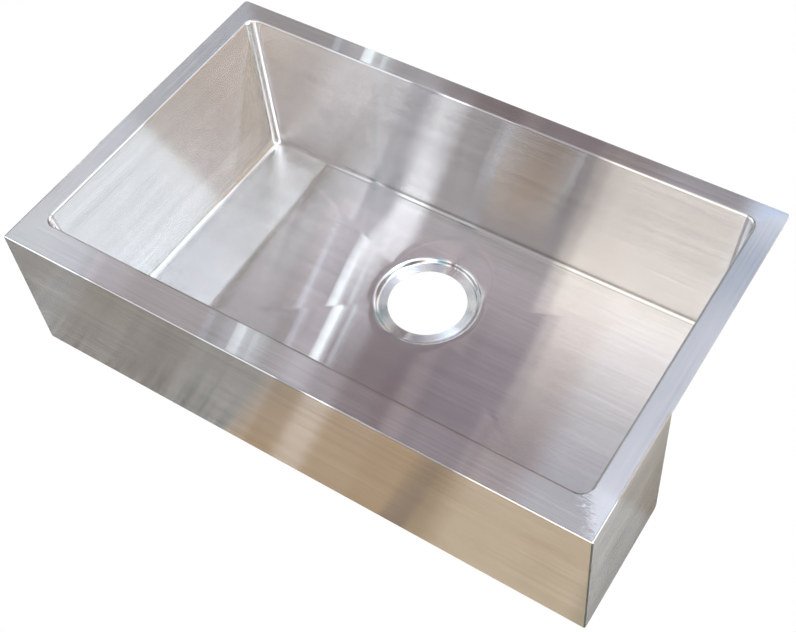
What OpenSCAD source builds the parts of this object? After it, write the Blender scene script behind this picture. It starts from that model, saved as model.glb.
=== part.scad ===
// Apron-front kitchen sink of brushed stainless sheet, for a motorhome worktop.
// X runs along the apron, Y from the apron to the back, Z up. The origin is
// under the middle of the rim, level with the underside of the drain recess.

/* [Rim] */
// Width over the rim
rim_w = 686; // [560:1:860]
// Depth over the rim, from the apron's face to the back edge
rim_d = 420; // [370:1:520]
// Width of the flat ledge behind the apron
front_ledge = 37; // [30:0.5:60]
// Width of the flat ledge along the back
back_ledge = 23; // [14:0.5:50]
// Width of the flat ledge along each side
side_ledge = 25.5; // [14:0.5:50]
// Outside radius of the roll from the ledge down into the bowl
roll_r = 3; // [2:0.5:6]

/* [Bowl] */
// Depth from the rim to the outer edge of the floor
bowl_depth = 183; // [120:1:220]
// How far each wall leans in between the rim and the floor
wall_lean = 15; // [0:0.5:28]
// Inside radius between a wall and the floor
cove_r = 7.5; // [5:0.5:10]
// Inside radius between two walls, seen from above
corner_r = 12; // [8:0.5:16]
// How far the corner pieces run along the walls past their rounding
corner_tail = 6; // [3:0.5:20]
// Fall of the floor from its outer edge to the drain recess
floor_fall = 2; // [1:0.5:8]

/* [Drain] */
// How far the drain lies behind the middle of the rim
drain_back = 52; // [-20:1:70]
// Diameter of the drain hole
drain_hole_d = 92.6; // [80:0.1:100]
// Diameter of the recess that the strainer's flange sits in
recess_d = 126.6; // [118:0.2:136]
// Depth of that recess
recess_depth = 5; // [4:0.5:7]
// Width of the recess's S-shaped side, seen from above
recess_side_w = 8.2; // [7:0.2:10]
// Width of the shallow dished ring that blends the floor into the recess
dish_w = 38; // [25:1:45]

/* [Apron] */
// Height of the apron and its side returns
apron_h = 178; // [110:1:220]
// Length of the side returns, from the apron's face
return_l = 151; // [80:1:240]
// Outside radius of the apron's folded edges
fold_r = 2; // [1.8:0.1:3]
// Width of the hem folded inwards along the bottom
hem_w = 14; // [8:0.5:20]
// Radius of the lower rear corner of each side return
return_corner_r = 6; // [4:0.5:20]

/* [Apron braces] */
// Width of each brace
brace_w = 30; // [15:1:60]
// Thickness of the braces
brace_t = 1.5; // [1:0.1:3]
// Height of the feet by which a brace is welded on
brace_foot_h = 25; // [15:1:40]
// Distance from each end of the bowl to the middle of the outer brace there
brace_from_end = 107.5; // [60:0.5:160]
// How far the braces' webs lie above the bottom of the apron
brace_rise = 28; // [20:1:60]

/* [Sound pads] */
// Thickness of the rubber pads
pad_t = 3; // [2:0.5:4]
// Height of the pads on the walls
wall_pad_h = 90; // [40:1:100]
// How far the wall pads start below the rim
wall_pad_drop = 35; // [15:1:45]
// Length of the pad on the back wall
back_pad_l = 400; // [200:1:450]
// Length of the pads on the side walls
side_pad_l = 200; // [120:1:240]
// Width of the floor pads beside the drain, along X
floor_pad_w = 125; // [60:1:130]
// Width of the floor pad in front of the drain, along Y
front_pad_w = 64; // [30:1:70]
// How far the floor pads keep from the floor's edges and creases
floor_pad_edge = 8; // [4:1:15]

/* [Sheet] */
// Thickness of the stainless sheet
sheet = 1.2; // [0.8:0.1:1.4]

/* [Hidden] */

// Steps in each rounded stretch of the bowl's section, and around its corners
roll_steps = 4;
cove_steps = 6;
corner_steps = 8;
fold_steps = 4;
bend_steps = 4;
$fn = 96;

// Overlap of a cutting shape past the face it cuts
past = 1;

// Height of the rim's top face, and of the apron's bottom edge
rim_z = bowl_depth + floor_fall + recess_depth + sheet;
apron_z = rim_z - apron_h;

// Inner edges of the rim, where the walls' planes would meet its top face
bowl_x = rim_w/2 - side_ledge;
bowl_front = -rim_d/2 + front_ledge;
bowl_back = rim_d/2 - back_ledge;

// Lean of the walls from upright
lean = atan(wall_lean/bowl_depth);

// Centre of the roll and of the cove: inset from the bowl's inner edge, and
// height from the rim
roll_c = [-roll_r*(1 - sin(lean))/cos(lean), -roll_r];
cove_c = [cove_r/cos(lean) + (bowl_depth - cove_r)*tan(lean), cove_r - bowl_depth];

// Insets at which the roll ends and the cove starts, on the visible face
roll_end = roll_c[0] + roll_r*cos(lean);
cove_start = cove_c[0] - cove_r*cos(lean);

// Where the corner pieces end along each wall
corner_l = cove_start + corner_r + corner_tail;

// Outline of the floor pan
floor_x = bowl_x - cove_c[0];
floor_front = bowl_front + cove_c[0];
floor_back = bowl_back - cove_c[0];
floor_z = rim_z - bowl_depth;

// Depth of the point at the drain's middle where the floor's planes would meet
recess_r = recess_d/2;
far_corner = norm([floor_x, max(drain_back - floor_front, floor_back - drain_back)]);
floor_point = floor_fall/(1 - recess_r/far_corner);

// Radius and turn of the two equal bends in the recess's side
recess_turn = 2*atan(recess_depth/recess_side_w);
recess_bend_r = recess_side_w/(2*sin(recess_turn));

// Steel as it looks in daylight, lighter where it is hand-dressed, and rubber
steel = [0.72, 0.71, 0.70];
steel_light = [0.80, 0.80, 0.82];
steel_warm = [0.70, 0.66, 0.60];
rubber = [0.20, 0.20, 0.21];

// Unit vector at an angle
function dir(a) = [cos(a), sin(a)];

// One stop along the bowl's section: the visible face's point, the hidden
// face's point, and the inset of the middle of the corner's rounding
function stop_at(c, r_seen, r_hidden, a, mid) = [c + r_seen*dir(a), c + r_hidden*dir(a), mid];

// The section's stops from the ledge round the roll, down and round the cove
section = concat(
    [for (i = [0:roll_steps])
        stop_at(roll_c, roll_r, roll_r - sheet, 90 - (90 - lean)*i/roll_steps, roll_end + corner_r)],
    [for (i = [0:cove_steps])
        stop_at(cove_c, cove_r, cove_r + sheet, 180 + lean + (90 - lean)*i/cove_steps, cove_start + corner_r)]
);
seen_side = [for (s = section) [s[0][0], s[0][1], s[2]]];
hidden_side = [for (i = [len(section) - 1:-1:0]) [section[i][1][0], section[i][1][1], section[i][2]]];
section_loop = concat(seen_side, hidden_side);

// Hidden face of a leaning wall: its inset at a height below the rim
function wall_back_at(z) = -z*tan(lean) - sheet/cos(lean);

// Height of a floor plane, seen from the floor's edge, at a distance d in from
// an edge that lies a distance reach from the drain's middle
function floor_fall_at(d, reach) = -floor_point*d/reach;

// Points of the bowl's outline at an inset, with corners rounded about a middle
function corner_arc(inset, mid, a0) =
    [for (i = [0:corner_steps]) (mid - inset)*dir(a0 + 90*i/corner_steps)];
function bowl_outline(inset, mid) = concat(
    [for (p = corner_arc(inset, mid, 0)) p + [bowl_x - mid, bowl_back - mid]],
    [for (p = corner_arc(inset, mid, 90)) p + [mid - bowl_x, bowl_back - mid]],
    [for (p = corner_arc(inset, mid, 180)) p + [mid - bowl_x, bowl_front + mid]],
    [for (p = corner_arc(inset, mid, 270)) p + [bowl_x - mid, bowl_front + mid]]
);

// Extrusions of a section in Y and Z along X, and of one in X and Z along Y
module along_x(length) {
    rotate([90, 0, 90]) linear_extrude(length, center = true) children();
}
module along_y(y0, y1) {
    translate([0, y1, 0]) rotate([90, 0, 0]) linear_extrude(y1 - y0) children();
}

// Bowl section as an outline, with insets running along +X
module wall_section() {
    polygon([for (s = section_loop) [s[0], s[1]]]);
}

// Box between two corners
module box(low, high) {
    translate(low) cube(high - low);
}

// Rim

// Outer outline of the ledges: the apron's folds take the edge strips in front
module ledge_outline() {
    front = -rim_d/2 + fold_r;
    split = -rim_d/2 + return_l;
    translate([-rim_w/2 + fold_r, front]) square([rim_w - 2*fold_r, split - front]);
    translate([-rim_w/2, split]) square([rim_w, rim_d/2 - split]);
}

// Flat rim sheet, cut out for the bowl's roll
module rim_sheet() {
    translate([0, 0, rim_z - sheet]) linear_extrude(sheet) difference() {
        ledge_outline();
        polygon(bowl_outline(roll_c[0], roll_end + corner_r));
    }
}

// Mitre line of a corner, from outside the rim to well inside the bowl's rounding
function mitre(sx, inner_y, outer_y, t) =
    [sx*rim_w/2, outer_y] + t*[-sx*side_ledge, inner_y - outer_y];
function mitre_front(sx, t) = mitre(sx, bowl_front, -rim_d/2, t);
function mitre_back(sx, t) = mitre(sx, bowl_back, rim_d/2, t);
mitre_in = 1.9;
mitre_out = -0.1;

module rim_piece(wedge) {
    color(steel_light) intersection() {
        rim_sheet();
        translate([0, 0, rim_z - sheet - past]) linear_extrude(sheet + 2*past) polygon(wedge);
    }
}
module rim_front() {
    rim_piece([mitre_front(-1, mitre_out), mitre_front(1, mitre_out),
        mitre_front(1, mitre_in), mitre_front(-1, mitre_in)]);
}
module rim_back() {
    rim_piece([mitre_back(-1, mitre_out), mitre_back(1, mitre_out),
        mitre_back(1, mitre_in), mitre_back(-1, mitre_in)]);
}
module rim_side(sx) {
    rim_piece([mitre_front(sx, mitre_out), mitre_front(sx, mitre_in),
        mitre_back(sx, mitre_in), mitre_back(sx, mitre_out)]);
}

// Bowl

module wall_front() {
    color(steel) translate([0, bowl_front, rim_z])
        along_x(2*(bowl_x - corner_l)) wall_section();
}
module wall_back() {
    color(steel) translate([0, bowl_back, rim_z])
        along_x(2*(bowl_x - corner_l)) mirror([1, 0]) wall_section();
}
module wall_left() {
    color(steel) translate([-bowl_x, 0, rim_z])
        along_y(bowl_front + corner_l, bowl_back - corner_l) wall_section();
}
module wall_right() {
    mirror([1, 0, 0]) wall_left();
}

// One row of a corner piece: along one wall, round the corner, along the other
function corner_row(s) = concat(
    [[corner_l, s[0], s[1]]],
    [for (i = [corner_steps:-1:0])
        [s[2] + (s[2] - s[0])*cos(180 + 90*i/corner_steps),
         s[2] + (s[2] - s[0])*sin(180 + 90*i/corner_steps), s[1]]],
    [[s[0], corner_l, s[1]]]
);

// Corner of the bowl in its own place, with the inner edges of the rim along +X and +Y
module corner_skin() {
    rows = [for (s = section_loop) corner_row(s)];
    n_rows = len(rows);
    n = len(rows[0]);
    quads = [for (r = [0:n_rows - 1]) for (c = [0:n - 2])
        let (a = r*n + c, b = ((r + 1)%n_rows)*n + c) each [[a, b, b + 1], [a, b + 1, a + 1]]];
    // Each end is closed by a strip that runs between the two faces of the sheet
    ends = [for (i = [0:len(section) - 2])
        let (seen = i*n, seen_next = seen + n, hidden = (n_rows - 1 - i)*n, hidden_next = hidden - n)
            each [[hidden, hidden_next, seen_next, seen],
                [seen + n - 1, seen_next + n - 1, hidden_next + n - 1, hidden + n - 1]]];
    polyhedron([for (row = rows) each row], concat(quads, ends), convexity = 6);
}
module corner_piece(sx, sy) {
    color(steel_light)
        translate([sx*bowl_x, sy > 0 ? bowl_back : bowl_front, rim_z])
            mirror([sx > 0 ? 1 : 0, 0, 0]) mirror([0, sy > 0 ? 1 : 0, 0]) corner_skin();
}

// Space over the floor: four planes that fall to one point at the drain, and
// the dished ring round the recess. The floor's edge is at height 0.
module over_floor() {
    corners = [[-floor_x, floor_front], [floor_x, floor_front],
        [floor_x, floor_back], [-floor_x, floor_back]];
    polyhedron(
        concat([[0, drain_back, -floor_point]],
            [for (p = corners) [p[0], p[1], 0]],
            [for (p = corners) [p[0], p[1], past]]),
        [[0, 1, 2], [0, 2, 3], [0, 3, 4], [0, 4, 1],
            [1, 5, 6, 2], [2, 6, 7, 3], [3, 7, 8, 4], [4, 8, 5, 1], [8, 7, 6, 5]]
    );
    translate([0, drain_back, -floor_fall])
        cylinder(h = floor_fall, r1 = recess_r, r2 = recess_r + dish_w);
}
module floor_pan() {
    color(steel) translate([0, 0, floor_z]) difference() {
        intersection() {
            translate([0, 0, -floor_fall - sheet - past]) linear_extrude(floor_fall + sheet + past)
                polygon(bowl_outline(cove_c[0], cove_start + corner_r));
            translate([0, 0, -sheet]) over_floor();
        }
        over_floor();
        translate([0, drain_back, -floor_fall - sheet - 2*past])
            cylinder(h = floor_fall + sheet + 3*past, r = recess_r);
    }
}

// Pressed recess for the strainer's flange, with the drain hole. Its side bends
// over from the floor and back again to the flat seat.
module drain_recess() {
    top_c = [recess_r, -recess_bend_r];
    low_c = [recess_r - recess_side_w, recess_bend_r - recess_depth];
    upper = [for (i = [0:bend_steps]) top_c + recess_bend_r*dir(90 + recess_turn*i/bend_steps)];
    upper_under = [for (i = [bend_steps:-1:0])
        top_c + (recess_bend_r - sheet)*dir(90 + recess_turn*i/bend_steps)];
    lower = [for (i = [0:bend_steps])
        low_c + recess_bend_r*dir(recess_turn - 90 - recess_turn*i/bend_steps)];
    lower_under = [for (i = [bend_steps:-1:0])
        low_c + (recess_bend_r + sheet)*dir(recess_turn - 90 - recess_turn*i/bend_steps)];
    hole = [[drain_hole_d/2, -recess_depth], [drain_hole_d/2, -recess_depth - sheet]];
    color(steel_light) translate([0, drain_back, floor_z - floor_fall])
        rotate_extrude() polygon(concat(upper, lower, hole, lower_under, upper_under));
}

// Apron

// Arc round one corner of an outline: sx and sy point from the corner inwards
function round_corner(p, r, a0, sx, sy) =
    [for (i = [0:fold_steps]) p + [sx*r, sy*r] + r*dir(a0 + 90*i/fold_steps)];

// Block that fills the apron's box, with its folded edges rounded and its
// faces moved in by an inset
module apron_block(inset) {
    r = fold_r - inset;
    x = rim_w/2 - inset;
    y = -rim_d/2 + inset;
    low = inset;
    high = apron_h - inset;
    back = -rim_d/2 + return_l + (inset > 0 ? past : 0);
    intersection() {
        // Seen from the front
        along_y(y - past, back) polygon(concat(
            round_corner([x, high], r, 0, -1, -1), round_corner([-x, high], r, 90, 1, -1),
            round_corner([-x, low], r, 180, 1, 1), round_corner([x, low], r, 270, -1, 1)));
        // Seen from the side
        along_x(rim_w + 2*past) polygon(concat(
            [[back, high]], round_corner([y, high], r, 90, 1, -1),
            round_corner([y, low], r, 180, 1, 1), [[back, low]]));
        // Seen from above
        translate([0, 0, -past]) linear_extrude(apron_h + 2*past) polygon(concat(
            [[x, back], [-x, back]], round_corner([-x, y], r, 180, 1, 1),
            round_corner([x, y], r, 270, -1, 1)));
    }
}

// Sheet over the faces of that block, standing in its place under the rim
module apron_sheet() {
    translate([0, 0, apron_z]) difference() {
        apron_block(0);
        apron_block(sheet);
    }
}
module apron_front() {
    y = -rim_d/2;
    color(steel_warm) intersection() {
        apron_sheet();
        union() {
            box([-rim_w/2 - past, y - past, apron_z - past], [rim_w/2 + past, y + fold_r, rim_z + past]);
            box([-rim_w/2 + fold_r, y, apron_z - past], [rim_w/2 - fold_r, y + hem_w, apron_z + fold_r]);
        }
    }
}

// Side return, its lower rear corner rounded
module apron_return(sx) {
    y = -rim_d/2;
    back = y + return_l;
    mirror([sx < 0 ? 1 : 0, 0, 0]) color(steel_light) difference() {
        intersection() {
            apron_sheet();
            union() {
                box([rim_w/2 - fold_r, y + fold_r, apron_z - past],
                    [rim_w/2 + past, back + past, rim_z + past]);
                box([rim_w/2 - hem_w, y + hem_w, apron_z - past],
                    [rim_w/2, back + past, apron_z + fold_r]);
            }
        }
        translate([rim_w/2, 0, 0]) along_x(4*hem_w) difference() {
            translate([back - return_corner_r, apron_z - past])
                square([return_corner_r + past, return_corner_r + past]);
            translate([back - return_corner_r, apron_z + return_corner_r]) circle(r = return_corner_r);
        }
    }
}

// Folded strap that ties the apron's back to the bowl's front wall
module apron_brace(i) {
    apron_in = -front_ledge + sheet;
    web_z = brace_rise - apron_h;
    top_z = web_z + brace_foot_h;
    slant_t = brace_t/cos(lean);
    color(steel) translate([i*(bowl_x - brace_from_end), bowl_front, rim_z]) along_x(brace_w) {
        translate([apron_in, web_z]) square([brace_t, brace_foot_h]);
        polygon([[apron_in, web_z], [wall_back_at(web_z), web_z],
            [wall_back_at(web_z + brace_t), web_z + brace_t], [apron_in, web_z + brace_t]]);
        polygon([[wall_back_at(web_z), web_z], [wall_back_at(top_z), top_z],
            [wall_back_at(top_z) - slant_t, top_z], [wall_back_at(web_z) - slant_t, web_z]]);
    }
}

// Sound pads

// Section of a wall pad on the hidden face of a leaning wall
module wall_pad_section() {
    top = -wall_pad_drop;
    low = top - wall_pad_h;
    slant_t = pad_t/cos(lean);
    polygon([[wall_back_at(top), top], [wall_back_at(low), low],
        [wall_back_at(low) - slant_t, low], [wall_back_at(top) - slant_t, top]]);
}
module pad_left() {
    middle = (bowl_front + bowl_back)/2;
    color(rubber) translate([-bowl_x, 0, rim_z])
        along_y(middle - side_pad_l/2, middle + side_pad_l/2) wall_pad_section();
}
module pad_right() {
    mirror([1, 0, 0]) pad_left();
}
module pad_back() {
    color(rubber) translate([0, bowl_back, rim_z])
        along_x(back_pad_l) mirror([1, 0]) wall_pad_section();
}

// Section of a pad under a floor plane, from d0 to d1 in from the floor's edge
module floor_pad_section(d0, d1, reach) {
    z0 = floor_fall_at(d0, reach) - sheet;
    z1 = floor_fall_at(d1, reach) - sheet;
    polygon([[d0, z0], [d1, z1], [d1, z1 - pad_t], [d0, z0 - pad_t]]);
}
module pad_floor_left() {
    d1 = floor_pad_edge + floor_pad_w;
    share = d1/floor_x;
    y0 = floor_front + (drain_back - floor_front)*share + floor_pad_edge;
    y1 = floor_back - (floor_back - drain_back)*share - floor_pad_edge;
    color(rubber) translate([-floor_x, 0, floor_z])
        along_y(y0, y1) floor_pad_section(floor_pad_edge, d1, floor_x);
}
module pad_floor_right() {
    mirror([1, 0, 0]) pad_floor_left();
}
module pad_floor_front() {
    reach = drain_back - floor_front;
    d1 = floor_pad_edge + front_pad_w;
    half_l = floor_x*(1 - d1/reach) - floor_pad_edge;
    color(rubber) translate([0, floor_front, floor_z])
        along_x(2*half_l) floor_pad_section(floor_pad_edge, d1, reach);
}

rim_front();
rim_back();
rim_side(-1);  // rim_left
rim_side(1);  // rim_right
wall_front();
wall_back();
wall_left();
wall_right();
corner_piece(-1, -1);  // corner_front_left
corner_piece(1, -1);  // corner_front_right
corner_piece(-1, 1);  // corner_back_left
corner_piece(1, 1);  // corner_back_right
floor_pan();
drain_recess();
apron_front();
apron_return(-1);  // apron_return_left
apron_return(1);  // apron_return_right
apron_brace(-1);  // apron_brace_left
apron_brace(0);  // apron_brace_middle
apron_brace(1);  // apron_brace_right
pad_left();
pad_right();
pad_back();
pad_floor_left();
pad_floor_right();
pad_floor_front();
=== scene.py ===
"""Looks of the apron-front kitchen sink: brushed stainless sheet, rubber pads, soft studio light."""

import math

import bmesh
import bpy
from mathutils import Matrix, Vector


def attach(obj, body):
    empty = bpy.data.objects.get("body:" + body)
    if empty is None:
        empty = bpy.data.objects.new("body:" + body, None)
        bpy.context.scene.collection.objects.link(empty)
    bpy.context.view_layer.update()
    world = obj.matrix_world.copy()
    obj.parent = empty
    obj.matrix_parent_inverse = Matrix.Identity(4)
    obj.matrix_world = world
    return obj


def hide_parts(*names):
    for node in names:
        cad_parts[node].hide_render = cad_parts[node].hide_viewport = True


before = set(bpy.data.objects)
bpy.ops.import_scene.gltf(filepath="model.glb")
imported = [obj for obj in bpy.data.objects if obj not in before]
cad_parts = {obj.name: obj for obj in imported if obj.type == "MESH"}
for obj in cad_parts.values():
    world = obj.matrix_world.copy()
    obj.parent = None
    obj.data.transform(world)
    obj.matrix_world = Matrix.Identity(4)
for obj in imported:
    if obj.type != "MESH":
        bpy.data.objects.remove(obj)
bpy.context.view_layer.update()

mm = 0.001

# Sizes of the sink, as its sheet is cut and folded
rim_w, rim_d = 686 * mm, 420 * mm
front_ledge, back_ledge, side_ledge = 37 * mm, 23 * mm, 25.5 * mm
roll_r, cove_r, corner_r = 3 * mm, 7.5 * mm, 12 * mm
bowl_depth, wall_lean = 183 * mm, 15 * mm
floor_fall, recess_depth, sheet = 2 * mm, 5 * mm, 1.2 * mm
drain_back, hole_r, recess_r = 52 * mm, 46.3 * mm, 63.3 * mm
recess_side_w, dish_w, dish_ease = 8.2 * mm, 38 * mm, 0.12 * mm
apron_h, return_l, fold_r, hem_w, return_corner_r = 178 * mm, 151 * mm, 2 * mm, 14 * mm, 6 * mm
rim_corner_r, ledge_edge_r = 4 * mm, 0.3 * mm
brace_w, brace_foot, brace_sheet, brace_spacing = 30 * mm, 25 * mm, 1.5 * mm, 210 * mm
brace_lift, brace_fold_r, brace_corner_r = 28 * mm, 2.2 * mm, 4 * mm
pad_corner_r, pad_edge_r, pad_border, pad_sink = 6 * mm, 0.8 * mm, 4 * mm, 0.6 * mm
least_pad_face = 1000 * mm * mm

rim_z = bowl_depth + floor_fall + recess_depth + sheet
apron_z = rim_z - apron_h
bowl_x = rim_w / 2 - side_ledge
bowl_front = front_ledge - rim_d / 2
bowl_back = rim_d / 2 - back_ledge
return_y = return_l - rim_d / 2
lean = math.atan(wall_lean / bowl_depth)

# Section of a wall, as inset from the bowl's inner edge and height from the rim
roll_middle = (-roll_r * (1 - math.sin(lean)) / math.cos(lean), -roll_r)
cove_middle = (cove_r / math.cos(lean) + (bowl_depth - cove_r) * math.tan(lean), cove_r - bowl_depth)
roll_end = roll_middle[0] + roll_r * math.cos(lean)
cove_start = cove_middle[0] - cove_r * math.cos(lean)

floor_x = bowl_x - cove_middle[0]
floor_front = bowl_front + cove_middle[0]
floor_back = bowl_back - cove_middle[0]
floor_z = rim_z - bowl_depth
far_corner = math.hypot(floor_x, drain_back - floor_front)
floor_point = floor_fall / (1 - recess_r / far_corner)
recess_turn = 2 * math.atan(recess_depth / recess_side_w)
recess_bend_r = recess_side_w / (2 * math.sin(recess_turn))
dished_from, crisp_from = recess_r + 0.1 * mm, recess_r + 0.75 * dish_w

# How near counts as touching, and how near two corners are joined
near, weld = 0.001 * mm, 0.01 * mm

# Faces along each bend
corner_steps, cove_steps, roll_steps, recess_steps, edge_steps = 12, 12, 8, 8, 3
rim_corner_steps, fold_steps, return_corner_steps = 6, 6, 8
brace_fold_steps, brace_corner_steps, pad_corner_steps = 5, 5, 6


# ---- meshes -------------------------------------------------------------------------------------

def piece_from(bm, name, sharp=35):
    """Closes a bmesh off as a piece with smooth bends and crisp edges."""
    mesh = bpy.data.meshes.new(name)
    marked = [e.index for e in bm.edges if not e.smooth]
    bm.to_mesh(mesh)
    bm.free()
    mesh.shade_smooth()
    mesh.set_sharp_from_angle(angle=math.radians(sharp))
    sharp_edges = mesh.attributes.get("sharp_edge")
    if not sharp_edges:
        sharp_edges = mesh.attributes.new("sharp_edge", "BOOLEAN", "EDGE")
    for i in marked:
        sharp_edges.data[i].value = True
    piece = bpy.data.objects.new(name, mesh)
    bpy.context.scene.collection.objects.link(piece)
    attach(piece, "root")
    return piece


def give_sheet_thickness(piece, thickness, offset):
    """Turns a surface into sheet metal of even thickness."""
    wall = piece.modifiers.new("sheet thickness", "SOLIDIFY")
    wall.thickness = thickness
    wall.offset = offset
    wall.use_even_offset = True
    wall.use_quality_normals = True


def let_flats_lead(piece):
    """Lets wide flat faces set the shading where they run into a bend."""
    flats = piece.modifiers.new("flat faces lead", "WEIGHTED_NORMAL")
    flats.mode = "FACE_AREA"
    flats.weight = 100
    flats.keep_sharp = True


def round_off(bm, geom, radius, segments, affect="EDGES"):
    """Rounds edges or corners off."""
    bmesh.ops.bevel(bm, geom=geom, offset=radius, offset_type="OFFSET", segments=segments, profile=0.5,
                    affect=affect, material=-1)


def verts_of(made):
    """The vertices among what an operator made."""
    return [g for g in made if isinstance(g, bmesh.types.BMVert)]


def bend(middle, radius, first, last, steps):
    """Points of a bend's arc, angles in degrees."""
    turns = [math.radians(first + (last - first) * i / steps) for i in range(steps + 1)]
    return [(middle[0] + radius * math.cos(t), middle[1] + radius * math.sin(t)) for t in turns]


def rounded_ring(bm, inset, middle, z, steps):
    """A level ring round the bowl with rounded corners. Returns its edges."""
    x, front, back = bowl_x - inset, bowl_front + inset, bowl_back - inset
    corners = bmesh.ops.create_grid(bm, x_segments=1, y_segments=1, size=0.5)["verts"]
    bmesh.ops.scale(bm, vec=(2 * x, back - front, 1), verts=corners)
    bmesh.ops.translate(bm, vec=(0, (front + back) / 2, z), verts=corners)
    plate = corners[0].link_faces[0]
    round_off(bm, list(plate.verts), middle - inset, steps, "VERTICES")
    plate = [f for f in bm.faces if all(abs(v.co.z - z) < near for v in f.verts)][-1]
    ring = list(plate.edges)
    bmesh.ops.delete(bm, geom=[plate], context="FACES_ONLY")
    return ring


def drawn_ring(bm, ring, last, stop):
    """Extrudes a ring round the bowl from one stop of the section to the next."""
    made = bmesh.ops.extrude_edge_only(bm, edges=ring)["geom"]
    verts = verts_of(made)
    edges = [g for g in made if isinstance(g, bmesh.types.BMEdge)]
    middle_y = (bowl_front + bowl_back) / 2
    for sx in (-1, 1):
        for sy in (-1, 1):
            def round_middle(middle):
                y = bowl_back - middle if sy > 0 else bowl_front + middle
                return Vector((sx * (bowl_x - middle), y, 0))
            own = [v for v in verts if v.co.x * sx > 0 and (v.co.y - middle_y) * sy > 0]
            old, new = round_middle(last[2]), round_middle(stop[2])
            grow = (stop[2] - stop[0]) / (last[2] - last[0])
            bmesh.ops.scale(bm, vec=(grow, grow, 1), space=Matrix.Translation(-old), verts=own)
            bmesh.ops.translate(bm, vec=new - old + Vector((0, 0, stop[1] - last[1])), verts=own)
    return edges


def make_bowl_walls():
    """The four leaning walls in one ground skin: roll, wall, cove, and back up its hidden side.

    Each stop of the section has its inset, its height and the inset of the middle of its round corner.
    """
    lean_deg = math.degrees(lean)

    def stops_of(arc, corner_middle):
        return [(inset, rim_z + z, corner_middle) for inset, z in arc]

    seen, hidden = [
        stops_of(bend(roll_middle, top_r, 90, lean_deg, roll_steps), roll_end + corner_r)
        + stops_of(bend(cove_middle, foot_r, 180 + lean_deg, 270, cove_steps), cove_start + corner_r)
        for top_r, foot_r in ((roll_r, cove_r), (roll_r - sheet, cove_r + sheet))
    ]
    stops = seen + hidden[::-1]
    bm = bmesh.new()
    first = ring = rounded_ring(bm, stops[0][0], stops[0][2], stops[0][1], corner_steps)
    for last, stop in zip(stops, stops[1:]):
        ring = drawn_ring(bm, ring, last, stop)
    bmesh.ops.bridge_loops(bm, edges=first + ring)
    bmesh.ops.recalc_face_normals(bm, faces=bm.faces)
    walls = piece_from(bm, "bowl_walls")
    let_flats_lead(walls)
    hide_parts(*[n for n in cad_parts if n.startswith(("wall_", "corner_"))])
    return walls


def reach_to_edge(direction):
    """Distance from the drain's middle to the floor's edge in one direction."""
    across = floor_x / max(abs(direction.x), 1e-9)
    way = floor_back - drain_back if direction.y > 0 else drain_back - floor_front
    return min(across, way / max(abs(direction.y), 1e-9))


def floor_height(r, direction):
    """Height of the floor: a plane that falls to the drain and eases into the dish round the recess."""
    plane = -floor_point * (1 - r / reach_to_edge(direction))
    ring = -floor_fall * (1 - (r - recess_r) / dish_w)
    gap = max(dish_ease - abs(plane - ring), 0) / dish_ease
    return floor_z + min(plane, ring) - gap * gap * dish_ease / 4


def make_bowl_floor():
    """The pressed floor with its creases and recess, spun about the drain from crease to crease."""
    low, seat_r, turn = -floor_fall - recess_depth, recess_r - recess_side_w, math.degrees(recess_turn)
    foot, shoulder = (seat_r, low + recess_bend_r), (recess_r, -floor_fall - recess_bend_r)
    section = [(hole_r, low)]
    section += bend(foot, recess_bend_r, -90, turn - 90, recess_steps)
    section += bend(shoulder, recess_bend_r, 90 + turn, 90, recess_steps)[1:]
    shares = (0.1, 0.2, 0.3, 0.4, 0.5, 0.6, 0.7, 0.8, 0.9, 1.0, 1.12)
    section += [(recess_r + dish_w * share, 0) for share in shares]
    creases = sorted(math.atan2(y - drain_back, x)
                     for x in (-floor_x, floor_x) for y in (floor_front, floor_back))
    creases.append(creases[0] + 2 * math.pi)
    middle = Vector((0, drain_back, 0))

    bm = bmesh.new()
    for a0, a1 in zip(creases, creases[1:]):
        start = Vector((math.cos(a0), math.sin(a0), 0))
        chain = [bm.verts.new(middle + start * r + Vector((0, 0, floor_z + z))) for r, z in section]
        line = [bm.edges.new(pair) for pair in zip(chain, chain[1:])]
        steps = max(round(math.degrees(a1 - a0) / 2), 1)
        bmesh.ops.spin(bm, geom=chain + line, cent=middle, axis=(0, 0, 1), angle=a1 - a0, steps=steps)
    bmesh.ops.remove_doubles(bm, verts=bm.verts, dist=weld)
    for v in bm.verts:
        out = Vector((v.co.x, v.co.y - drain_back, 0))
        if out.length > dished_from:
            v.co.z = floor_height(out.length, out.normalized())
    rim = [e for e in bm.edges if e.is_boundary and (e.verts[0].co - middle).length > recess_r]
    outer = bmesh.ops.extrude_edge_only(bm, edges=rim)["geom"]
    for v in verts_of(outer):
        out = Vector((v.co.x, v.co.y - drain_back, 0)).normalized()
        v.co = middle + out * reach_to_edge(out) + Vector((0, 0, floor_z))
    bmesh.ops.recalc_face_normals(bm, faces=bm.faces)
    if max(bm.faces, key=lambda f: f.calc_area()).normal.z < 0:
        bmesh.ops.reverse_faces(bm, faces=bm.faces)
    bm.edges.index_update()
    for e in bm.edges:
        ends = [Vector((v.co.x, v.co.y - drain_back, 0)) for v in e.verts]
        along_crease = all(min(abs(math.atan2(p.y, p.x) - a) for a in creases) < 1e-4 for p in ends)
        e.smooth = not (along_crease and min(p.length for p in ends) > crisp_from)
    floor = piece_from(bm, "bowl_floor")
    give_sheet_thickness(floor, sheet, -1)
    let_flats_lead(floor)
    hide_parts("floor_pan", "drain_recess")
    return floor


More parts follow.
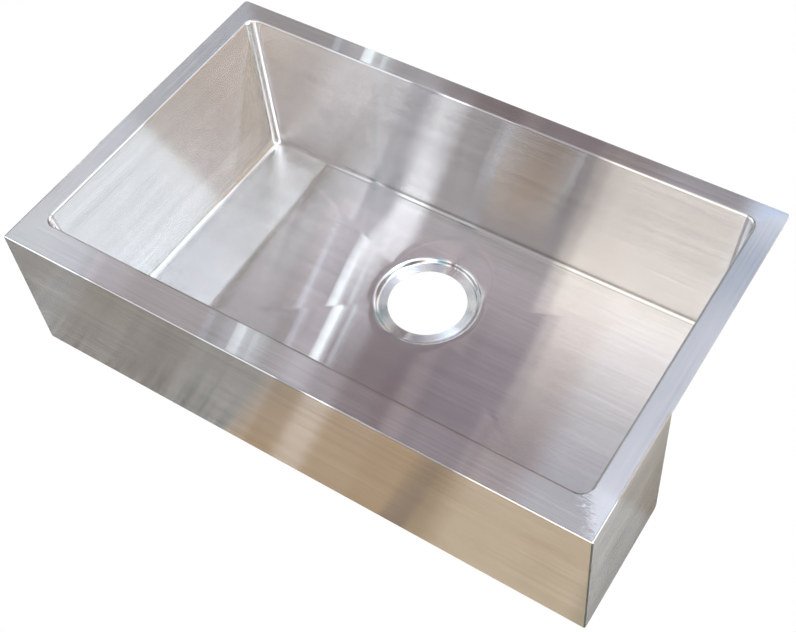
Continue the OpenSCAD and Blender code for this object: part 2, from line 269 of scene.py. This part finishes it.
def make_rim_ledges():
    """The four ledges, welded at their corners and ground flush, round the bowl's opening."""
    bm = bmesh.new()
    inner = rounded_ring(bm, roll_middle[0], roll_end + corner_r, rim_z, corner_steps)
    x, back = rim_w / 2, rim_d / 2
    fold_x, fold_y = x - fold_r, fold_r - rim_d / 2
    outline = [(-fold_x, fold_y), (fold_x, fold_y), (fold_x, return_y), (x, return_y)]
    outline += bend((x - rim_corner_r, back - rim_corner_r), rim_corner_r, 0, 90, rim_corner_steps)
    outline += bend((rim_corner_r - x, back - rim_corner_r), rim_corner_r, 90, 180, rim_corner_steps)
    outline += [(-x, return_y), (-fold_x, return_y)]
    corners = [bm.verts.new((px, py, rim_z)) for px, py in outline]
    outer = [bm.edges.new((a, b)) for a, b in zip(corners, corners[1:] + corners[:1])]
    bmesh.ops.triangle_fill(bm, edges=inner + outer, use_beauty=True)
    bmesh.ops.recalc_face_normals(bm, faces=bm.faces)
    top = list(bm.faces)
    if top[0].normal.z < 0:
        bmesh.ops.reverse_faces(bm, faces=top)
    under = bmesh.ops.extrude_face_region(bm, geom=top, use_keep_orig=True)["geom"]
    bmesh.ops.translate(bm, vec=(0, 0, -sheet), verts=verts_of(under))
    bmesh.ops.recalc_face_normals(bm, faces=bm.faces)

    def is_free_edge(e):
        """A top edge on the rim's outside, behind the side returns."""
        points = [v.co for v in e.verts]
        if len(e.link_faces) != 2 or any(abs(p.z - rim_z) > near for p in points):
            return False
        turned = abs(e.link_faces[0].normal.z - e.link_faces[1].normal.z) > 0.5
        first, last = sorted(p.y for p in points)
        behind = last > return_y + near and first > return_y - near
        outside = all(max(abs(p.x) - bowl_x, p.y - bowl_back) > 0.9 * back_ledge for p in points)
        return turned and behind and outside

    round_off(bm, [e for e in bm.edges if is_free_edge(e)], ledge_edge_r, edge_steps)
    rim = piece_from(bm, "rim_ledges")
    let_flats_lead(rim)
    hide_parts("rim_front", "rim_back", "rim_left", "rim_right")
    return rim


def make_apron_skin():
    """The apron and its two side returns, folded from sheet, with a hem turned in along the bottom."""
    x, y, top = rim_w / 2, -rim_d / 2, rim_z
    bm = bmesh.new()
    block = bmesh.ops.create_cube(bm, size=1)["verts"]
    bmesh.ops.scale(bm, vec=(2 * x, return_y - y, apron_h), verts=block)
    bmesh.ops.translate(bm, vec=(0, (y + return_y) / 2, top - apron_h / 2), verts=block)

    def edges_on(test):
        return [e for e in bm.edges if all(test(v.co) for v in e.verts)]

    def faces_on(test):
        return [f for f in bm.faces if all(test(v.co) for v in f.verts)]

    low_corners = edges_on(lambda c: c.y > return_y - near and c.z < apron_z + near)
    round_off(bm, low_corners, return_corner_r, return_corner_steps)
    rear = [f for f in bm.faces if f.normal.y > 0.01]
    bmesh.ops.delete(bm, geom=rear, context="FACES")
    folds = [e for e in bm.edges if len(e.link_faces) == 2]
    round_off(bm, folds, fold_r, fold_steps)
    bmesh.ops.delete(bm, geom=faces_on(lambda c: c.z > top - near), context="FACES")
    cuts = (
        ((x - hem_w, 0, 0), (1, 0, 0)),
        ((hem_w - x, 0, 0), (1, 0, 0)),
        ((0, y + hem_w, 0), (0, 1, 0)),
    )
    for point, normal in cuts:
        under = faces_on(lambda c: c.z < apron_z + near)
        parts = {e for f in under for e in f.edges} | {v for f in under for v in f.verts}
        bmesh.ops.bisect_plane(bm, geom=under + list(parts), plane_co=point, plane_no=normal)
    open_under = [f for f in faces_on(lambda c: c.z < apron_z + near)
                  if abs(f.calc_center_median().x) < x - hem_w and f.calc_center_median().y > y + hem_w]
    bmesh.ops.delete(bm, geom=open_under, context="FACES")
    bmesh.ops.recalc_face_normals(bm, faces=bm.faces)
    front = min(bm.faces, key=lambda f: f.calc_center_median().y)
    if front.normal.y > 0:
        bmesh.ops.reverse_faces(bm, faces=bm.faces)
    skin = piece_from(bm, "apron_skin")
    give_sheet_thickness(skin, sheet, -1)
    let_flats_lead(skin)
    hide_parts("apron_front", "apron_return_left", "apron_return_right")
    return skin


def wall_back_at(z):
    """Inset of a leaning wall's hidden face, at a height measured from the rim."""
    return -z * math.tan(lean) - sheet / math.cos(lean)


def make_brace(name, x):
    """A strap folded from strip: a foot on the apron, a web, and a foot up the bowl's front wall."""
    low, high = brace_lift - apron_h, brace_lift - apron_h + brace_foot
    start, end = sheet - front_ledge, wall_back_at(low)
    line = [(start, high), (start, low), (end, low), (wall_back_at(high), high)]
    bm = bmesh.new()
    chain = [bm.verts.new((x - brace_w / 2, bowl_front + y, rim_z + z)) for y, z in line]
    edges = [bm.edges.new(pair) for pair in zip(chain, chain[1:])]
    made = bmesh.ops.extrude_edge_only(bm, edges=edges)["geom"]
    bmesh.ops.translate(bm, vec=(brace_w, 0, 0), verts=verts_of(made))
    round_off(bm, [e for e in bm.edges if len(e.link_faces) == 2], brace_fold_r, brace_fold_steps)
    ends = [v for v in bm.verts if len(v.link_edges) == 2]
    round_off(bm, ends, brace_corner_r, brace_corner_steps, "VERTICES")
    bmesh.ops.recalc_face_normals(bm, faces=bm.faces)
    web_face = max(bm.faces, key=lambda f: f.calc_area() * abs(f.normal.z))
    if web_face.normal.z > 0:
        bmesh.ops.reverse_faces(bm, faces=bm.faces)
    brace = piece_from(bm, name + "_folded")
    give_sheet_thickness(brace, brace_sheet, -1)
    let_flats_lead(brace)
    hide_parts(name)
    return brace


def make_pad(name):
    """A moulded rubber pad: rounded corners, a softened edge and a sunk field inside a plain border.

    The back pad's upper side lies furthest out, so the edges round that side are the softened ones.
    """
    bm = bmesh.new()
    bm.from_mesh(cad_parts[name].data)
    bmesh.ops.remove_doubles(bm, verts=bm.verts, dist=weld)
    bmesh.ops.dissolve_limit(bm, angle_limit=math.radians(1), verts=bm.verts, edges=bm.edges)
    bmesh.ops.recalc_face_normals(bm, faces=bm.faces)

    def outward(face):
        return -face.normal.z if "floor" in name else face.calc_center_median().xy.length

    def outermost():
        return max((f for f in bm.faces if f.calc_area() > least_pad_face), key=outward)

    wide = sorted(bm.faces, key=lambda f: f.calc_area())[-2:]
    sides = [e for e in bm.edges if not any(e in f.edges for f in wide)]
    round_off(bm, sides, pad_corner_r, pad_corner_steps)
    round_off(bm, list(outermost().edges), pad_edge_r, edge_steps)
    face = outermost()
    for step, depth in ((pad_border, 0), (pad_sink, -pad_sink)):
        bmesh.ops.inset_individual(bm, faces=[face], thickness=step, depth=depth, use_even_offset=True)
    pad = piece_from(bm, name + "_moulded")
    let_flats_lead(pad)
    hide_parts(name)
    return pad


# ---- camera and light ---------------------------------------------------------------------------

def set_camera():
    """The photograph's camera, fitted to the sink's straight edges and the drain's ellipses."""
    lens = bpy.data.cameras.new("view")
    lens.sensor_fit = "HORIZONTAL"
    lens.sensor_width = 36
    lens.lens = 59.007
    lens.shift_x = -0.02471
    lens.shift_y = -0.03036
    camera = bpy.data.objects.new("view", lens)
    right = Vector((0.842025, 0.535815, -0.062421))
    down = Vector((0.394095, -0.690035, -0.607075))
    ahead = Vector((-0.368353, 0.486573, -0.792189))
    eye = (0.53960, -0.67724, rim_z + 1.00898)
    turn = Matrix((right, -down, -ahead)).transposed()
    camera.matrix_world = Matrix.Translation(eye) @ turn.to_4x4()
    bpy.context.scene.collection.objects.link(camera)
    bpy.context.scene.camera = camera


# ---- finishes -----------------------------------------------------------------------------------

def new_group(name, outputs):
    """A shader node group that is fed with a place. Returns it, the place and its output node."""
    group = bpy.data.node_groups.new(name, "ShaderNodeTree")
    group.interface.new_socket(name="Place", in_out="INPUT", socket_type="NodeSocketVector")
    for label in outputs:
        group.interface.new_socket(name=label, in_out="OUTPUT", socket_type="NodeSocketFloat")
    place = group.nodes.new("NodeGroupInput").outputs["Place"]
    return group, place, group.nodes.new("NodeGroupOutput")


def put(tree, kind, links=(), **settings):
    """Adds a node, sets its properties and wires or fills its inputs."""
    node = tree.nodes.new("ShaderNode" + kind)
    for key, value in settings.items():
        setattr(node, key, value)
    for key, value in dict(links).items():
        if isinstance(value, bpy.types.NodeSocket):
            tree.links.new(value, node.inputs[key])
        else:
            node.inputs[key].default_value = value
    return node


def sum_up(tree, operation, a, b=0.5, c=0.5, clamp=False):
    """A Math node's output."""
    node = put(tree, "Math", operation=operation, use_clamp=clamp)
    for socket, value in zip(node.inputs, (a, b, c)):
        if isinstance(value, bpy.types.NodeSocket):
            tree.links.new(value, socket)
        else:
            socket.default_value = value
    return node.outputs[0]


def vector_sum(tree, operation, *given):
    """A Vector Math node's output."""
    return put(tree, "VectorMath", dict(enumerate(given)), operation=operation).outputs[0]


def parts_of(tree, vector):
    """A vector's X, Y and Z."""
    return put(tree, "SeparateXYZ", {0: vector}).outputs


def vector_from(tree, x, y, z):
    """A vector put together from X, Y and Z."""
    return put(tree, "CombineXYZ", {0: x, 1: y, 2: z}).outputs[0]


def either(tree, switch, first, second):
    """The first vector where switch is none, and the second where it is one."""
    return put(tree, "Mix", {0: switch, 4: first, 5: second}, data_type="VECTOR").outputs[1]


def noise_on(tree, place, scale, detail=2.0, rough=0.5, distortion=0.0):
    """Noise over a place, with its own scale along and across the grain."""
    scaled = vector_sum(tree, "MULTIPLY", place, scale)
    noise = put(tree, "TexNoise", {"Vector": scaled, "Scale": 1.0, "Detail": detail, "Roughness": rough,
                                   "Distortion": distortion})
    return noise.outputs["Fac"]


def add_group(tree, group, place):
    """Puts a node group into a material, fed with a place."""
    node = tree.nodes.new("ShaderNodeGroup")
    node.node_tree = group
    tree.links.new(place, node.inputs["Place"])
    return node.outputs


def empty_material(name):
    """A new material and its node tree, with nothing in it."""
    mat = bpy.data.materials.new(name)
    mat.use_nodes = True
    mat.node_tree.nodes.clear()
    return mat, mat.node_tree


def show(tree, shader):
    """Wires a shader to a material's output."""
    out = tree.nodes.new("ShaderNodeOutputMaterial")
    tree.links.new(shader.outputs[0], out.inputs["Surface"])


def make_brushing():
    """Lines that a belt leaves in steel. Place runs along the grain in X and Y, and across it in Z."""
    group, place, out = new_group("brushing", ("Lines", "Streaks", "Bands"))
    fine = noise_on(group, place, (26, 26, 3400))
    coarse = noise_on(group, place, (9, 9, 900))
    lines = sum_up(group, "MULTIPLY_ADD", coarse, coarse_share, fine)
    streaks = noise_on(group, place, (6, 6, 420), 3, 0.6)
    bands = noise_on(group, place, (2.2, 2.2, 45))
    for label, made in (("Lines", lines), ("Streaks", streaks), ("Bands", bands)):
        group.links.new(made, out.inputs[label])
    return group


def make_handling():
    """Faint cloudy marks from handling and water, and small spots."""
    group, place, out = new_group("handling", ("Clouds", "Spots"))
    clouds = noise_on(group, place, (11, 11, 11), 4, 0.55, 0.6)
    spots = noise_on(group, place, (90, 90, 90), 3, 0.6)
    for label, made in (("Clouds", clouds), ("Spots", spots)):
        group.links.new(made, out.inputs[label])
    return group


coarse_share = 0.6
brushing, handling = make_brushing(), make_handling()

# How much bands, streaks and clouds change the steel's tone, and how much painted shade darkens it on
# bends, between its darkest and lightest
band_tone, streak_tone, cloud_tone, bend_painted_shade = 0.35, 0.4, 0.25, -0.6
darkest, lightest = 0.72, 1.25
# How much they change its roughness, how deep its lines are, and how far they draw a highlight out
streak_roughness, cloud_roughness, bend_roughness = 0.017, 0.014, -0.032
line_depth, drawn_out = 0.0008 * mm, -0.95
# How squarely an end wall faces along X, how squarely a flat faces an axis, and how fast a bend sets in
end_wall_from, flat_from, bend_rise = 0.97, 0.985, 40
# Radius that the grain runs round the drain within, the radius that its round grain is taken at, and
# how far scratches cross a mitre, in ledge widths
round_grain_r, seat_grain_r, raggedness = recess_r - 0.3 * mm, 55 * mm, 1.6


def facing(tree):
    """How far the surface faces along each axis, either way."""
    normal = put(tree, "NewGeometry").outputs["Normal"]
    return parts_of(tree, vector_sum(tree, "ABSOLUTE", normal))


def on_ends(tree):
    """One on the bowl's two end walls, which are brushed coarser than the long ones."""
    return sum_up(tree, "GREATER_THAN", facing(tree)["X"], end_wall_from)


def on_bends(tree):
    """One on rolls, coves and corners, and none on flats. The bends are polished finer than the flats,
    and their colour is darkened there as painted shade.
    """
    x, y, z = facing(tree)
    flat = sum_up(tree, "MAXIMUM", sum_up(tree, "MAXIMUM", x, y), z)
    bent = sum_up(tree, "SUBTRACT", flat_from, flat)
    return sum_up(tree, "MULTIPLY_ADD", bent, bend_rise, 0.0, clamp=True)


def steel_finish(name, colour, roughness, lay_grain, coarser_ends=0.0):
    """Brushed stainless steel. lay_grain gives the grain's place and the direction across it."""
    mat, tree = empty_material(name)
    spot = put(tree, "TexCoord").outputs["Object"]
    place, across = lay_grain(tree, spot, parts_of(tree, spot))
    grain = add_group(tree, brushing, place)
    marks = add_group(tree, handling, spot)
    bends = on_bends(tree)

    tone = sum_up(tree, "MULTIPLY", marks["Clouds"], cloud_tone)
    tone = sum_up(tree, "MULTIPLY_ADD", grain["Bands"], band_tone, tone)
    tone = sum_up(tree, "MULTIPLY_ADD", grain["Streaks"], streak_tone, tone)
    # Painted shade: rolls, coves and corners are darkened in colour, as if shaded
    tone = sum_up(tree, "MULTIPLY_ADD", bends, bend_painted_shade, tone)
    dark, light = [tuple(c * share for c in colour) + (1,) for share in (darkest, lightest)]
    blend = put(tree, "Mix", {0: tone, 6: dark, 7: light}, data_type="RGBA")

    base = roughness - cloud_roughness
    rough = sum_up(tree, "MULTIPLY_ADD", grain["Streaks"], streak_roughness, base)
    rough = sum_up(tree, "MULTIPLY_ADD", marks["Clouds"], cloud_roughness, rough)
    rough = sum_up(tree, "MULTIPLY_ADD", bends, bend_roughness, rough)
    rough = sum_up(tree, "MULTIPLY_ADD", on_ends(tree), coarser_ends, rough)
    bump = put(tree, "Bump", {"Strength": 1.0, "Distance": line_depth, "Height": grain["Lines"]})
    shine = put(tree, "BsdfAnisotropic", {
        "Color": blend.outputs[2], "Roughness": rough, "Anisotropy": drawn_out,
        "Normal": bump.outputs[0], "Tangent": across})
    show(tree, shine)
    return mat


def grain_on_walls(tree, spot, xyz):
    """Level grain, right round the bowl."""
    return vector_from(tree, xyz[0], xyz[1], xyz[2]), vector_from(tree, 0, 0, 1)


def grain_on_floor(tree, spot, xyz):
    """Grain along the bowl, and round the drain in its recess."""
    plain = vector_from(tree, xyz[0], xyz[2], xyz[1])
    out = vector_sum(tree, "SUBTRACT", spot, (0, drain_back, 0))
    flat = vector_sum(tree, "MULTIPLY", out, (1, 1, 0))
    radius = put(tree, "VectorMath", {0: flat}, operation="LENGTH").outputs["Value"]
    spoke = vector_sum(tree, "NORMALIZE", flat)
    around = parts_of(tree, vector_sum(tree, "MULTIPLY", spoke, (seat_grain_r, seat_grain_r, 0)))
    turned = vector_from(tree, around[0], around[1], radius)
    inside = sum_up(tree, "LESS_THAN", radius, round_grain_r)
    return either(tree, inside, plain, turned), either(tree, inside, (0, 1, 0), spoke)


def share_past(tree, value, edge, width, way=1):
    """How far a place lies past an edge, as a share of a ledge's width."""
    past = (value, edge) if way > 0 else (edge, value)
    return sum_up(tree, "DIVIDE", sum_up(tree, "SUBTRACT", *past), width)


def grain_on_rim(tree, spot, xyz):
    """Grain along each ledge. At the mitres the hand-dressed scratches of each run into the other."""
    side = share_past(tree, sum_up(tree, "ABSOLUTE", xyz[0]), bowl_x, side_ledge)
    ahead = share_past(tree, xyz[1], bowl_front, front_ledge, way=-1)
    behind = share_past(tree, xyz[1], bowl_back, back_ledge)
    ends = sum_up(tree, "MAXIMUM", ahead, behind)
    long_place = vector_from(tree, xyz[0], xyz[2], xyz[1])
    side_place = vector_from(tree, xyz[1], xyz[2], xyz[0])
    scratches = noise_on(tree, long_place, (130, 130, 1500), rough=0.7)
    past_mitre = sum_up(tree, "SUBTRACT", side, ends)
    mitre = sum_up(tree, "MULTIPLY_ADD", scratches, 2 * raggedness, past_mitre)
    on_side = sum_up(tree, "GREATER_THAN", mitre, raggedness)
    return either(tree, on_side, long_place, side_place), either(tree, on_side, (0, 1, 0), (1, 0, 0))


def grain_on_strap(tree, spot, xyz):
    """Grain along each strap, from the apron to the bowl."""
    return vector_from(tree, xyz[1], xyz[2], xyz[0]), vector_from(tree, 1, 0, 0)


def rubber_finish(name):
    """Moulded black rubber with a fine pebbled skin, chalky where it has rubbed."""
    mat, tree = empty_material(name)
    spot = put(tree, "TexCoord").outputs["Object"]
    marks = add_group(tree, handling, spot)
    cells = put(tree, "TexVoronoi", {"Vector": spot, "Scale": 900.0}, feature="SMOOTH_F1")
    black, chalky = (0.012, 0.012, 0.013, 1), (0.035, 0.034, 0.034, 1)
    skin = put(tree, "Mix", {0: marks["Clouds"], 6: black, 7: chalky}, data_type="RGBA")
    rough = sum_up(tree, "MULTIPLY_ADD", marks["Spots"], 0.25, 0.5)
    pebbles = put(tree, "Bump", {
        "Strength": 0.5, "Distance": 0.15 * mm, "Height": cells.outputs["Distance"]})
    show(tree, put(tree, "BsdfPrincipled", {
        "Base Color": skin.outputs[2], "Roughness": rough, "Normal": pebbles.outputs[0]}))
    return mat


set_camera()
brushed, milled, coarser = 0.112, 0.156, 0.12
walls_steel = steel_finish("brushed_walls", (0.78, 0.77, 0.76), brushed, grain_on_walls, coarser)
floor_steel = steel_finish("brushed_floor", (0.78, 0.77, 0.77), brushed, grain_on_floor)
rim_steel = steel_finish("brushed_rim", (0.78, 0.78, 0.78), brushed, grain_on_rim)
apron_steel = steel_finish("brushed_apron", (0.78, 0.77, 0.76), brushed, grain_on_walls)
strap_steel = steel_finish("mill_strap", (0.62, 0.62, 0.62), milled, grain_on_strap)
rubber = rubber_finish("moulded_rubber")

make_bowl_walls().data.materials.append(walls_steel)
make_bowl_floor().data.materials.append(floor_steel)
make_rim_ledges().data.materials.append(rim_steel)
make_apron_skin().data.materials.append(apron_steel)
for side, place in (("left", -1), ("middle", 0), ("right", 1)):
    make_brace("apron_brace_" + side, place * brace_spacing).data.materials.append(strap_steel)
for side in ("left", "right", "back", "floor_left", "floor_right", "floor_front"):
    make_pad("pad_" + side).data.materials.append(rubber)


# Soft light round the sink. Each strip has where it begins and ends along an axis, as cosines from
# that axis, the turn about that axis that it spans, in degrees, each with its fade, and its colour.
strips_along_bowl = (
    ((-1.200, -0.545, 0.020), (-20, 70, 12), (0.49, 0.50, 0.53)),
    ((-0.545, -0.410, 0.020), (-20, 70, 12), (0.32, 0.32, 0.31)),
    ((-0.410, -0.270, 0.020), (-20, 38, 24), (0.41, 0.32, 0.27)),
    ((-0.270, -0.170, 0.030), (-20, 30, 12), (0.44, 0.29, 0.30)),
    ((-0.170, 0.300, 0.030), (-20, 78, 12), (0.64, 0.76, 1.00)),
    ((-1.200, -0.600, 0.020), (54, 69, 12), (0.37, 0.34, 0.25)),
    ((-0.600, -0.485, 0.014), (70, 85, 12), (0.43, 0.29, 0.34)),
    ((-0.485, -0.443, 0.014), (30, 61, 12), (0.14, 0.10, 0.09)),
    ((-0.443, -0.335, 0.014), (70, 85, 12), (0.76, 0.55, 0.63)),
    ((-0.335, -0.240, 0.030), (70, 85, 12), (0.57, 0.43, 0.59)),
    ((-0.240, 0.300, 0.030), (70, 93, 12), (0.63, 0.73, 0.97)),
    ((-1.200, -0.570, 0.020), (93, 200, 20), (2.34, 2.53, 2.75)),
    ((-0.570, -0.490, 0.005), (93, 200, 20), (1.30, 1.24, 1.28)),
    ((-0.490, -0.430, 0.005), (101, 200, 14), (1.59, 1.64, 1.74)),
    ((-0.430, -0.408, 0.010), (77, 200, 38), (0.79, 0.82, 0.90)),
    ((-0.408, -0.387, 0.010), (109, 200, 14), (2.74, 2.84, 3.03)),
    ((-0.387, -0.362, 0.008), (101, 200, 26), (1.02, 1.01, 1.05)),
    ((-0.362, -0.350, 0.008), (109, 200, 20), (1.11, 1.11, 1.19)),
    ((-0.350, -0.282, 0.008), (85, 200, 38), (0.77, 0.74, 0.76)),
    ((-0.282, -0.165, 0.020), (101, 200, 38), (2.45, 2.33, 2.19)),
    ((-0.165, 0.300, 0.030), (109, 200, 20), (1.03, 1.49, 1.61)),
    ((-0.478, -0.446, 0.012), (61, 70, 5), (1.00, 0.96, 1.13)),
    ((-0.330, -0.245, 0.030), (61, 70, 5), (0.08, 0.05, 0.05)),
    ((-0.245, -0.100, 0.030), (61, 70, 5), (0.43, 0.34, 0.36)),
)
# From this cosine on, to the right, the strips run across the bowl instead
right_from = 0.12
strips_across_bowl = (
    ((-1.200, -0.150, 0.060), (-20, 28, 10), (3.25, 2.61, 1.87)),
    ((-0.150, 0.250, 0.060), (-20, 28, 10), (6.50, 8.19, 9.37)),
    ((0.250, 0.449, 0.006), (-20, 28, 10), (1.48, 1.38, 1.19)),
    ((0.449, 0.640, 0.006), (-20, 28, 10), (1.36, 1.21, 0.85)),
    ((0.640, 1.200, 0.060), (-20, 28, 10), (0.07, 0.07, 0.07)),
    ((-1.200, -0.150, 0.060), (28, 60, 10), (0.07, 0.07, 0.07)),
    ((-0.150, 0.250, 0.060), (28, 60, 10), (4.42, 4.45, 4.65)),
    ((0.250, 0.449, 0.006), (28, 60, 10), (1.96, 2.25, 2.51)),
    ((0.449, 0.640, 0.006), (28, 60, 10), (0.38, 0.22, 0.22)),
    ((0.640, 1.200, 0.060), (28, 60, 10), (7.52, 6.77, 6.80)),
    ((-1.200, -0.100, 0.060), (60, 120, 12), (4.17, 3.83, 3.78)),
    ((-0.100, 0.300, 0.060), (60, 120, 12), (6.08, 7.58, 9.37)),
    ((0.300, 0.600, 0.060), (60, 120, 12), (2.82, 2.87, 3.11)),
    ((0.600, 1.200, 0.060), (60, 120, 12), (1.43, 1.68, 2.03)),
)
# Strips of light on the ground, which the apron mirrors: each has its reach in X and in Y, each with
# its fade, and its colour.
strips_on_ground = (
    ((-1.60, -0.42, 0.060), (-3.00, 0.70, 0.10), (0.20, 0.14, 0.08)),
    ((-0.42, -0.10, 0.020), (-3.00, 0.70, 0.10), (0.35, 0.33, 0.29)),
    ((-0.10, 0.10, 0.010), (-3.00, 0.70, 0.10), (0.56, 0.39, 0.22)),
    ((0.10, 0.13, 0.010), (-3.00, 0.70, 0.10), (0.32, 0.23, 0.15)),
    ((0.13, 0.34, 0.010), (-3.00, 0.70, 0.10), (0.52, 0.38, 0.22)),
    ((0.34, 0.60, 0.020), (-3.00, 7.00, 0.10), (0.19, 0.17, 0.14)),
    ((0.60, 1.00, 0.020), (-3.00, 7.00, 0.10), (1.69, 1.72, 1.72)),
    ((1.00, 7.00, 0.020), (-3.00, 7.00, 0.10), (0.72, 0.74, 0.69)),
)
# Tube lamps that hang beside the sink: where each hangs along X, its width and its light. Below them
# are their place in Y and Z, their length and the spot that they are turned to.
tube_lamps = (
    (-0.497, 18 * mm, (1.6, 1.85, 1.95)),
    (-0.465, 8 * mm, (0.55, 0.7, 0.75)),
    (-0.560, 12 * mm, (0.45, 0.5, 0.65)),
)
tube_back, tube_height, tube_length = 0.43, 0.80, 0.5
tubes_face = Vector((0, 0, 100 * mm))
# Fine dark streaks before the apron's foot: where they lie in Y and in X, and how dark they are
streaks_reach, streaks_span, streaks_depth = (-0.34, -0.20, 0.05), (-0.60, -0.10, 0.06), 0.65
ground_half, ground_drop = 6, 0.2 * mm


def ease_over(tree, value, low, high, before, after):
    """Goes smoothly from one value to another between two limits."""
    limits = {"Value": value, "From Min": low, "From Max": high, "To Min": before, "To Max": after}
    return put(tree, "MapRange", limits, interpolation_type="SMOOTHSTEP").outputs[0]


def soft_band(tree, value, band):
    """One inside a band, fading smoothly over each of its ends."""
    low, high, fade = band
    rise = ease_over(tree, value, low - fade / 2, low + fade / 2, 0.0, 1.0)
    fall = ease_over(tree, value, high - fade / 2, high + fade / 2, 1.0, 0.0)
    return sum_up(tree, "MULTIPLY", rise, fall)


def add_bands(tree, along, across, where, bands, total):
    """Adds the light of several bands to a total."""
    for first, second, colour in bands:
        in_first, in_second = soft_band(tree, along, first), soft_band(tree, across, second)
        share = sum_up(tree, "MULTIPLY", in_first, in_second)
        share = sum_up(tree, "MULTIPLY", share, where)
        total = vector_sum(tree, "MULTIPLY_ADD", share, colour, total)
    return total


def white_to_camera(tree, shader, colour):
    """The studio is seen as plain white, and lights the sink with its own colours."""
    light = put(tree, shader, {"Color": colour})
    white = put(tree, shader, {"Color": (1, 1, 1, 1)})
    seen = put(tree, "LightPath").outputs["Is Camera Ray"]
    return put(tree, "MixShader", {0: seen, 1: light.outputs[0], 2: white.outputs[0]})


def light_studio():
    """Soft strips of light round the sink."""
    world = bpy.data.worlds.new("studio")
    bpy.context.scene.world = world
    world.use_nodes = True
    tree = world.node_tree
    tree.nodes.clear()
    toward = put(tree, "TexCoord").outputs["Generated"]
    x, y, z = parts_of(tree, toward)
    turn_x = sum_up(tree, "MULTIPLY", sum_up(tree, "ARCTAN2", z, y), math.degrees(1))
    turn_y = sum_up(tree, "MULTIPLY", sum_up(tree, "ARCTAN2", z, x), math.degrees(1))
    at_right = sum_up(tree, "GREATER_THAN", x, right_from)
    at_left = sum_up(tree, "SUBTRACT", 1.0, at_right)
    total = add_bands(tree, x, turn_x, at_left, strips_along_bowl, (0, 0, 0))
    total = add_bands(tree, y, turn_y, at_right, strips_across_bowl, total)
    out = tree.nodes.new("ShaderNodeOutputWorld")
    tree.links.new(white_to_camera(tree, "Background", total).outputs[0], out.inputs["Surface"])


def hang_tube_lamps():
    """Narrow lamps near the sink, turned to the bowl. Brushed steel draws each out into a long streak."""
    for across, width, colour in tube_lamps:
        tube = bpy.data.lights.new("tube_lamp", "AREA")
        tube.shape = "RECTANGLE"
        tube.size, tube.size_y = width, tube_length
        brightest = max(colour)
        tube.color = [c / brightest for c in colour]
        tube.energy = brightest * math.pi * width * tube_length
        place = Vector((across, tube_back, tube_height))
        away = (place - tubes_face).normalized()
        side = (Vector((1, 0, 0)) - away * away.x).normalized()
        lamp = bpy.data.objects.new("tube_lamp", tube)
        turn = Matrix((side, away.cross(side), away)).transposed()
        lamp.matrix_world = Matrix.Translation(place) @ turn.to_4x4()
        lamp.visible_camera = False
        bpy.context.scene.collection.objects.link(lamp)


def lay_ground():
    """A plain white floor, whose strips show only in the apron. It can be looked through from below."""
    bm = bmesh.new()
    bmesh.ops.create_grid(bm, x_segments=1, y_segments=1, size=ground_half)
    bmesh.ops.translate(bm, vec=(0, 0, -ground_drop), verts=bm.verts)
    mesh = bpy.data.meshes.new("ground")
    bm.to_mesh(mesh)
    bm.free()
    ground = bpy.data.objects.new("ground", mesh)
    bpy.context.scene.collection.objects.link(ground)

    paper, tree = empty_material("white_paper")
    x, y, _ = parts_of(tree, put(tree, "TexCoord").outputs["Object"])
    total = add_bands(tree, x, y, 1.0, strips_on_ground, (0, 0, 0))
    streaks = noise_on(tree, vector_from(tree, x, y, 0), (95, 9, 0), rough=0.6)
    shade = ease_over(tree, streaks, 0.42, 0.55, streaks_depth, 0.0)
    shade = sum_up(tree, "MULTIPLY", shade, soft_band(tree, y, streaks_reach))
    shade = sum_up(tree, "MULTIPLY", shade, soft_band(tree, x, streaks_span))
    total = vector_sum(tree, "MULTIPLY", total, sum_up(tree, "SUBTRACT", 1.0, shade))
    from_below = put(tree, "NewGeometry").outputs["Backfacing"]
    above = white_to_camera(tree, "Emission", total)
    clear = put(tree, "BsdfTransparent")
    show(tree, put(tree, "MixShader", {0: from_below, 1: above.outputs[0], 2: clear.outputs[0]}))
    mesh.materials.append(paper)


light_studio()
hang_tube_lamps()
lay_ground()

bpy.context.scene.view_settings.view_transform = "Standard"
